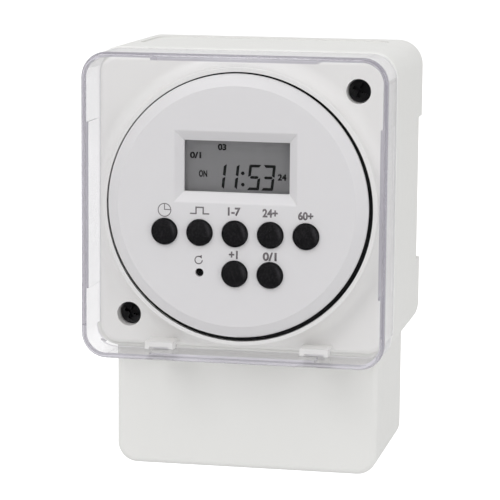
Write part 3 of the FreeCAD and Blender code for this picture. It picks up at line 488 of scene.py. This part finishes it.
# %% Printed on the dial, shown on the display
FACE_Y = 5.6 * MM - DEPTH
SCREEN_Y = 9.0 * MM - DEPTH


def printed(name, bm, x, z):
    """A mark in grey ink on the dial."""
    mark("sign_" + name, bm, x, z, FACE_Y, ink_grey)


def shown(name, bm, x, z):
    """A mark on the display's panel."""
    mark(name, bm, x, z, SCREEN_Y, segment_black)


print("planes for marks at Y", round(FACE_Y / MM, 2), "and", round(SCREEN_Y / MM, 2), "mm")

# %% [markdown]
# ## Words and numbers
#
# Small grey signs stand by the keys. A text object makes such glyphs, and could stay one, but its size
# goes by the font's own box and not by the letters. So it is turned into a mesh, centred and scaled to
# the height and width that are wanted. Then it is a flat mark like any other.

# %% Text as a flat mesh


def letters(text, height, width, weight):
    """Flat glyphs of this height and width, centred on the origin. Weight makes them bolder."""
    curve = bpy.data.curves.new("glyphs", "FONT")
    curve.body = text
    curve.size = 1.0
    curve.offset = weight
    curve.resolution_u = 6
    holder = bpy.data.objects.new("glyphs", curve)
    bpy.context.scene.collection.objects.link(holder)
    bpy.context.view_layer.update()
    mesh = bpy.data.meshes.new_from_object(holder.evaluated_get(bpy.context.evaluated_depsgraph_get()))
    bm = bmesh.new()
    bm.from_mesh(mesh)
    bpy.data.objects.remove(holder)
    bpy.data.curves.remove(curve)
    bpy.data.meshes.remove(mesh)
    bmesh.ops.remove_doubles(bm, verts=bm.verts[:], dist=1e-5)
    xs = [v.co.x for v in bm.verts]
    ys = [v.co.y for v in bm.verts]
    tall = height / (max(ys) - min(ys))
    wide = width / (max(xs) - min(xs))
    middle = Vector(((max(xs) + min(xs)) / 2, (max(ys) + min(ys)) / 2, 0))
    bmesh.ops.translate(bm, verts=bm.verts[:], vec=-middle)
    bmesh.ops.scale(bm, verts=bm.verts[:], vec=(wide, tall, 1))
    return bm


print("text helper ready")

# %% [markdown]
# ## Signs at the keys
#
# Each sign says what its key does: the days of the week, a step of the hours or the minutes, one more,
# and on or off. The table gives each sign's text, its middle, its height and its width in millimetres.
# One loop prints them all, so they share one ink and one weight.

# %% Printed numbers
PRINT_WEIGHT = 0.04
key_signs = {
    "days": ("1-7", -0.48, -0.85, 2.0, 3.0),
    "hours": ("24+", 8.02, -0.9, 2.0, 3.6),
    "minutes": ("60+", 16.36, -1.25, 2.0, 3.6),
    "one_more": ("+1", -0.6, -10.94, 1.95, 2.1),
    "switch_over": ("0/1", 8.0, -11.06, 2.0, 3.3),
}
for name, (text, x, z, height, width) in key_signs.items():
    printed(name, letters(text, height * MM, width * MM, PRINT_WEIGHT), x * MM, z * MM)
print("signs:", ", ".join(key_signs))

# %% [markdown]
# ## Pictograms
#
# The first key sets the clock, so its sign is a thin ring with two hands. A ring is two circles bridged
# to each other, and a hand is a rectangle. All could share one mesh. The three are pieces of their own,
# so that a longer hand may run into the ring without spoiling it.

# %% The clock by the first key
CLOCK_X, CLOCK_Z = -17.05 * MM, -1.0 * MM
HAND_WIDTH = 0.22 * MM
HAND_LENGTH = 1.4 * MM


def rectangle(bm, x0, x1, y0, y1):
    """A flat rectangle. Gives back its four corners."""
    corners = bmesh.ops.create_grid(bm, x_segments=1, y_segments=1, size=0.5)["verts"]
    middle = Matrix.Translation(((x0 + x1) / 2, (y0 + y1) / 2, 0))
    bmesh.ops.transform(bm, verts=corners, matrix=middle @ Matrix.Diagonal((x1 - x0, y1 - y0, 1, 1)))
    return corners


def ring(bm, outer, inner, segments=48):
    """A flat ring between two circles."""
    loops = []
    for radius in (outer, inner):
        loops += bmesh.ops.create_circle(bm, segments=segments, radius=radius)["verts"]
    edges = list({e for v in loops for e in v.link_edges})
    bmesh.ops.bridge_loops(bm, edges=edges)


clock = bmesh.new()
ring(clock, 1.62 * MM, 1.41 * MM)
printed("clock_ring", clock, CLOCK_X, CLOCK_Z)
hand = bmesh.new()
rectangle(hand, -HAND_WIDTH / 2, HAND_WIDTH / 2, 0, HAND_LENGTH)
printed("clock_hand_up", hand, CLOCK_X, CLOCK_Z)
hand = bmesh.new()
rectangle(hand, HAND_WIDTH / 2, HAND_LENGTH, 0, HAND_WIDTH)
printed("clock_hand_right", hand, CLOCK_X, CLOCK_Z)
print("clock: a ring and two hands")

# %% [markdown]
# ## The programme's sign
#
# The second key sets the switching programme. Its sign is a square pulse: a foot, a rise, a top, a fall
# and a foot. One outline with twelve corners could make it. Five rectangles that only touch are easier
# to read and to change.

# %% The pulse by the second key
PULSE_WIDTH = 4.6 * MM
PULSE_HEIGHT = 1.8 * MM
STROKE = 0.32 * MM
FOOT = PULSE_WIDTH * 0.28

pulse = bmesh.new()
start, end = -PULSE_WIDTH / 2, PULSE_WIDTH / 2
low, high = -PULSE_HEIGHT / 2, PULSE_HEIGHT / 2
rise, fall = start + FOOT, end - FOOT
rectangle(pulse, start, rise, low, low + STROKE)
rectangle(pulse, fall, end, low, low + STROKE)
rectangle(pulse, rise, rise + STROKE, low, high)
rectangle(pulse, fall - STROKE, fall, low, high)
rectangle(pulse, rise + STROKE, fall - STROKE, high - STROKE, high)
printed("programme", pulse, -8.67 * MM, -0.85 * MM)
print("pulse:", round(PULSE_WIDTH / MM, 2), "by", round(PULSE_HEIGHT / MM, 2), "mm")

# %% [markdown]
# ## The reset sign
#
# At the small reset hole is a round arrow. A spin could draw its open arc, but the ring is already at
# hand, so a few of its faces are taken out. The head is a triangle, which is a circle of three segments.

# %% The round arrow at the reset hole
GAP_DEGREES = 62
HEAD_DEGREES = -32


def direction(face):
    """The angle in degrees from the X axis to a face's middle."""
    middle = face.calc_center_median()
    return math.degrees(math.atan2(middle.y, middle.x))


arrow = bmesh.new()
ring(arrow, 1.0 * MM, 0.74 * MM)
gap = [f for f in arrow.faces if 0 < direction(f) < GAP_DEGREES]
bmesh.ops.delete(arrow, geom=gap, context="FACES")
head = bmesh.ops.create_circle(arrow, segments=3, radius=0.5 * MM, cap_ends=True)["verts"]
turned = Matrix.Rotation(math.radians(HEAD_DEGREES), 3, "Z")
bmesh.ops.rotate(arrow, verts=head, cent=(0, 0, 0), matrix=turned)
bmesh.ops.translate(arrow, verts=head, vec=(0.5 * MM, 0.82 * MM, 0))
printed("reset", arrow, -8.85 * MM, -12.5 * MM)
print("reset arrow:", len(gap), "faces taken out")

# %% [markdown]
# ## The display's segments
#
# The time is shown by slanted seven-segment digits. Neighbouring segments end in slanted cuts with a
# hair of space between. A bevel would cut both sides of a bar alike, which is right for the bar across
# the middle only. The top and bottom bars are mitred by moving their corners on the digit's inner side.

# %% Level bars
DIGIT_HEIGHT = 6.0 * MM
DIGIT_WIDTH = 2.92 * MM
LINE = 0.65 * MM
SPACE = 0.09 * MM
MITRE = 0.75 * LINE
POINT = 0.49 * LINE
HALF_HEIGHT = DIGIT_HEIGHT / 2


def level_bar(bm, upper):
    """The digit's top or bottom bar, mitred at both ends on its inner side."""
    y = DIGIT_HEIGHT - LINE if upper else 0
    for corner in rectangle(bm, SPACE, DIGIT_WIDTH - SPACE, y, y + LINE):
        inner = (corner.co.y < y + LINE / 2) == upper
        if inner:
            shift = MITRE if corner.co.x < DIGIT_WIDTH / 2 else -MITRE
            bmesh.ops.translate(bm, verts=[corner], vec=(shift, 0, 0))


def middle_bar(bm):
    """The bar across the digit's middle, with pointed ends."""
    inset = LINE / 2 + SPACE
    y0, y1 = HALF_HEIGHT - LINE / 2, HALF_HEIGHT + LINE / 2
    corners = rectangle(bm, inset, DIGIT_WIDTH - inset, y0, y1)
    bmesh.ops.bevel(bm, geom=corners, offset=POINT, segments=1, profile=0.5, affect="VERTICES", material=-1)


print("digits:", round(DIGIT_WIDTH / MM, 2), "by", round(DIGIT_HEIGHT / MM, 2), "mm")

# %% [markdown]
# ## Upright bars and whole digits
#
# An upright bar has the level bars' mitre at the digit's corner and a slighter slant at its waist,
# where the pointed middle bar meets it. A digit is a choice of the seven bars. Each bar could be made
# slanted, but it is simpler to shear the whole digit to the right at the end.

# %% Digits
SLANT = 0.105
SLANTED = Matrix.Identity(4)
SLANTED[0][1] = SLANT
SEGMENTS = {"1": "bc", "3": "abcdg", "5": "acdfg"}
QUARTERS = {"f": (False, True), "b": (True, True), "e": (False, False), "c": (True, False)}


def upright_bar(bm, right, upper):
    """The bar in one quarter of the digit, with both ends cut on its inner side."""
    x = (DIGIT_WIDTH - LINE) * right
    y0, y1 = (HALF_HEIGHT + SPACE, DIGIT_HEIGHT - SPACE) if upper else (SPACE, HALF_HEIGHT - SPACE)
    for corner in rectangle(bm, x, x + LINE, y0, y1):
        inner = (corner.co.x < x + LINE / 2) == right
        top = corner.co.y > (y0 + y1) / 2
        if inner:
            cut = MITRE if top == upper else LINE / 2
            bmesh.ops.translate(bm, verts=[corner], vec=(0, -cut if top else cut, 0))


def digit(which):
    """One digit in a new bmesh, with its lower left corner at the origin."""
    bm = bmesh.new()
    for segment, upper in (("a", True), ("d", False)):
        if segment in SEGMENTS[which]:
            level_bar(bm, upper)
    if "g" in SEGMENTS[which]:
        middle_bar(bm)
    for segment, (right, upper) in QUARTERS.items():
        if segment in SEGMENTS[which]:
            upright_bar(bm, right, upper)
    bmesh.ops.transform(bm, matrix=SLANTED, verts=bm.verts[:])
    return bm


print("digits that can be shown:", ", ".join(SEGMENTS))

# %% [markdown]
# ## What the display shows
#
# The display shows a time with a colon, and four small signs round it: the day, the programme, the
# switch's state and the kind of hours. The small signs are too small for segments to be told apart, so
# they are letters. The tables give places and sizes in millimetres.

# %% The time and the small signs
DIGITS_Z = 3.9 * MM
DOT_RADIUS = 0.43 * MM
SCREEN_WEIGHT = 0.042
time_digits = [("1", -6.5), ("1", -3.45), ("5", 1.78), ("3", 5.12)]
colon_dots = [(0.85, 7.79), (0.88, 5.12)]
small_signs = {
    "day": ("03", -4.1, 13.75, 1.5, 2.0),
    "programme": ("0/1", -10.4, 11.7, 1.5, 2.7),
    "on": ("ON", -8.6, 7.42, 1.6, 2.0),
    "hours": ("24", 10.15, 7.12, 1.5, 2.05),
}
for number, (which, x) in enumerate(time_digits, 1):
    shown("digit_%d" % number, digit(which), x * MM, DIGITS_Z)
for number, (x, z) in enumerate(colon_dots, 1):
    dot = bmesh.new()
    bmesh.ops.create_circle(dot, segments=20, radius=DOT_RADIUS, cap_ends=True)
    shown("colon_dot_%d" % number, dot, x * MM, z * MM)
for name, (text, x, z, height, width) in small_signs.items():
    shown("display_" + name, letters(text, height * MM, width * MM, SCREEN_WEIGHT), x * MM, z * MM)
print("display shows", "".join(which for which, _ in time_digits), "and", len(small_signs), "small signs")

# %% [markdown]
# ## Studio
#
# The timer is photographed on white, and glossy plastic mirrors a white studio. The keys, the display
# and the cover's edges would then turn pale. A photographer hangs a dark cloth beside the camera. Here
# the Light Path node does the same: world and floor are white to the eye, a little dimmer as light, and
# dim to a mirrored ray. Behind one wall of the cover they are duller than behind two, which keeps its
# round lower corners from shining white. A ray enters a wall and leaves it, so each wall counts twice.

# %% What the eye sees straight
ONE_WALL, TWO_WALLS = 2, 4
BEHIND_TWO_WALLS = 0.95


def straight_view(net, path, behind_one):
    """1 for what the eye sees itself, less through the cover and 0 for what is mirrored."""
    unmirrored = node_math(net, "LESS_THAN", path["Glossy Depth"], 0.5)
    through = node_math(net, "MULTIPLY", path["Is Transmission Ray"], unmirrored)
    dulled = spread(net, path["Transmission Depth"], behind_one, BEHIND_TWO_WALLS, ONE_WALL, TWO_WALLS)
    behind = node_math(net, "MULTIPLY", through, dulled)
    return node_math(net, "MAXIMUM", path["Is Camera Ray"], behind)


print("view helper ready")

# %% [markdown]
# ## World
#
# The world gives most of the light, evenly from all sides. To a mirrored ray it is nearly dark in
# front, where the camera stands, and bright at the sides and behind, so that edges still catch a line
# of light. Lamps alone could light the timer too, but a white product on white needs this even light.

# %% World
world = bpy.data.worlds.new("studio world")
bpy.context.scene.world = world
world.use_nodes = True
net = world.node_tree
net.nodes.clear()
out = net.nodes.new("ShaderNodeOutputWorld")
light = net.nodes.new("ShaderNodeBackground")
light.inputs["Color"].default_value = (1, 1, 1, 1)
net.links.new(light.outputs["Background"], out.inputs["Surface"])
print("world:", world.name)

# %% The world's light for each kind of ray
WORLD_LIGHT = 0.656
WORLD_BEHIND_ONE = 0.85
MIRRORED_FRONT, MIRRORED_SIDES = 0.04, 0.8
FRONT_Y, SIDES_Y = -0.75, -0.2
path = net.nodes.new("ShaderNodeLightPath").outputs
way = axes(net, net.nodes.new("ShaderNodeTexCoord").outputs["Generated"])
in_mirror = spread(net, way["Y"], MIRRORED_FRONT, MIRRORED_SIDES, FRONT_Y, SIDES_Y)
mirrored = node_math(net, "MULTIPLY", path["Is Glossy Ray"], in_mirror)
not_mirrored = node_math(net, "SUBTRACT", 1.0, path["Is Glossy Ray"])
even = node_math(net, "MULTIPLY", not_mirrored, WORLD_LIGHT)
given = node_math(net, "ADD", mirrored, even)
seen = straight_view(net, path, WORLD_BEHIND_ONE)
net.links.new(node_math(net, "MAXIMUM", seen, given), light.inputs["Strength"])
print("world light", WORLD_LIGHT)

# %% [markdown]
# ## Floor
#
# The timer is made to hang on a wall, so it hangs free above a plain pale sheet. It could be swept up
# behind the timer, as a photographer's paper is. A flat grid is enough here, because the white world
# takes over where it ends.

# %% Floor
FLOOR_Z = -0.115
FLOOR_HALF_WIDTH = 3.0
bm = bmesh.new()
bmesh.ops.create_grid(bm, x_segments=1, y_segments=1, size=FLOOR_HALF_WIDTH)
bmesh.ops.translate(bm, verts=bm.verts[:], vec=(0, 0, FLOOR_Z))
mesh = bpy.data.meshes.new("floor")
bm.to_mesh(mesh)
bm.free()
floor = bpy.data.objects.new("floor", mesh)
bpy.context.scene.collection.objects.link(floor)
print("floor at", FLOOR_Z, "m")

# %% [markdown]
# ## The floor's finish
#
# The sheet is matt white paper, and a glow lifts it to white for the eye. To a mirrored ray it is dim
# in front of the timer, and a little brighter where the ray also passed one wall of the cover. From
# below it is clear, so that the timer can be looked at from there too. It could be hidden by hand for
# such a view, but that is easily forgotten.

# %% White paper with a glow
GLOW = 0.6
FLOOR_BEHIND_ONE = 0.4
floor_white, net, shader, where, out = new_finish("floor white")
shader.inputs["Base Color"].default_value = (0.85, 0.85, 0.85, 1)
shader.inputs["Roughness"].default_value = 0.8
shader.inputs["Emission Color"].default_value = (1, 1, 1, 1)
path = net.nodes.new("ShaderNodeLightPath").outputs
glow = node_math(net, "MULTIPLY", straight_view(net, path, FLOOR_BEHIND_ONE), GLOW)
net.links.new(glow, shader.inputs["Emission Strength"])
mesh.materials.append(floor_white)
print("floor finish:", floor_white.name)

# %% Dim in a mirror and clear from below
DIM, BRIGHTER_BEHIND_ONE = 0.05, 0.3
DIM_TO_Y, PLAIN_FROM_Y = -0.25, -0.08
in_front = spread(net, axes(net, where)["Y"], 1, 0, DIM_TO_Y, PLAIN_FROM_Y)
was_mirrored = node_math(net, "GREATER_THAN", path["Glossy Depth"], 0.5)
mirrored = node_math(net, "MULTIPLY", was_mirrored, in_front)
behind_one = node_math(net, "COMPARE", path["Transmission Depth"], ONE_WALL, 0.5)
dim = net.nodes.new("ShaderNodeEmission")
net.links.new(node_math(net, "MULTIPLY_ADD", behind_one, BRIGHTER_BEHIND_ONE, DIM), dim.inputs["Strength"])
from_above = mixed(net, mirrored, shader.outputs["BSDF"], dim.outputs["Emission"])
below = net.nodes.new("ShaderNodeNewGeometry").outputs["Backfacing"]
see_through = one_colour(net, "BsdfTransparent", (1, 1, 1))
net.links.new(mixed(net, below, from_above, see_through), out.inputs["Surface"])
print("floor is dim to a mirrored ray in front of", DIM_TO_Y, "m")

# %% [markdown]
# ## Lamps
#
# One large soft lamp stands high in front, to the left. It only adds a little to the even light of the
# world, so that upper faces are brightest and the right flank is a shade darker. A second, weaker lamp
# at the right keeps that flank from turning grey, and a faint one hangs above. Small lamps would be
# easier to place, but their shadows are hard, and the real timer's are soft.

# %% Soft lamps
LAMPS_AIM = (0, -0.03, 0)


def soft_lamp(name, place, size, power):
    """A rectangular lamp at this place, turned towards the timer."""
    lamp = bpy.data.lights.new(name, "AREA")
    lamp.shape = "RECTANGLE"
    lamp.size, lamp.size_y = size
    lamp.energy = power
    holder = bpy.data.objects.new(name, lamp)
    holder.location = place
    holder.rotation_euler = (Vector(LAMPS_AIM) - Vector(place)).to_track_quat("-Z", "Y").to_euler()
    bpy.context.scene.collection.objects.link(holder)


soft_lamp("main lamp", (-0.6, -1.1, 1.2), (0.9, 0.9), 9.6)
soft_lamp("top lamp", (0.1, -0.1, 1.2), (0.8, 0.6), 1.5)
soft_lamp("right fill", (1.2, -0.6, 0.3), (0.8, 0.8), 3.2)

# %% [markdown]
# ## Camera
#
# The camera stands a little to the right and above, about 60 cm away, with a long lens. It could be
# turned by a Track To constraint, but a real camera is also rolled a trace. So its place is worked out
# from the point that it looks at, two angles and a distance, and its axes are turned by the roll. The
# values were worked out from the timer's own edges in the picture.

# %% Where the camera stands and looks
AZIMUTH, ELEVATION, ROLL = (math.radians(a) for a in (11.549, 8.946, 0.479))
DISTANCE = 598.99 * MM
TARGET = Vector((0.317 * MM, 20 * MM - DEPTH, -12.036 * MM))
level = math.cos(ELEVATION)
ahead = Vector((-math.sin(AZIMUTH) * level, math.cos(AZIMUTH) * level, -math.sin(ELEVATION)))
right = Vector((math.cos(AZIMUTH), math.sin(AZIMUTH), 0))
up = right.cross(ahead)
rolled_right = right * math.cos(ROLL) + up * math.sin(ROLL)
rolled_up = up * math.cos(ROLL) - right * math.sin(ROLL)
turn = Matrix((rolled_right, rolled_up, -ahead)).transposed().to_4x4()
print("camera looks along", [round(c, 3) for c in ahead])

# %% The camera itself
SENSOR = 36
FOCAL_LENGTH_IN_PIXELS = 2518.8
PICTURE_IN_PIXELS = 500
lens = bpy.data.cameras.new("camera")
lens.sensor_width = SENSOR
lens.lens = FOCAL_LENGTH_IN_PIXELS / PICTURE_IN_PIXELS * SENSOR
lens.clip_start = 0.01
camera = bpy.data.objects.new("camera", lens)
camera.matrix_world = Matrix.Translation(TARGET - ahead * DISTANCE) @ turn
bpy.context.scene.collection.objects.link(camera)
bpy.context.scene.camera = camera
bpy.context.scene.view_settings.view_transform = "Standard"
print("lens", round(lens.lens, 1), "mm, camera at", [round(c, 3) for c in camera.location])
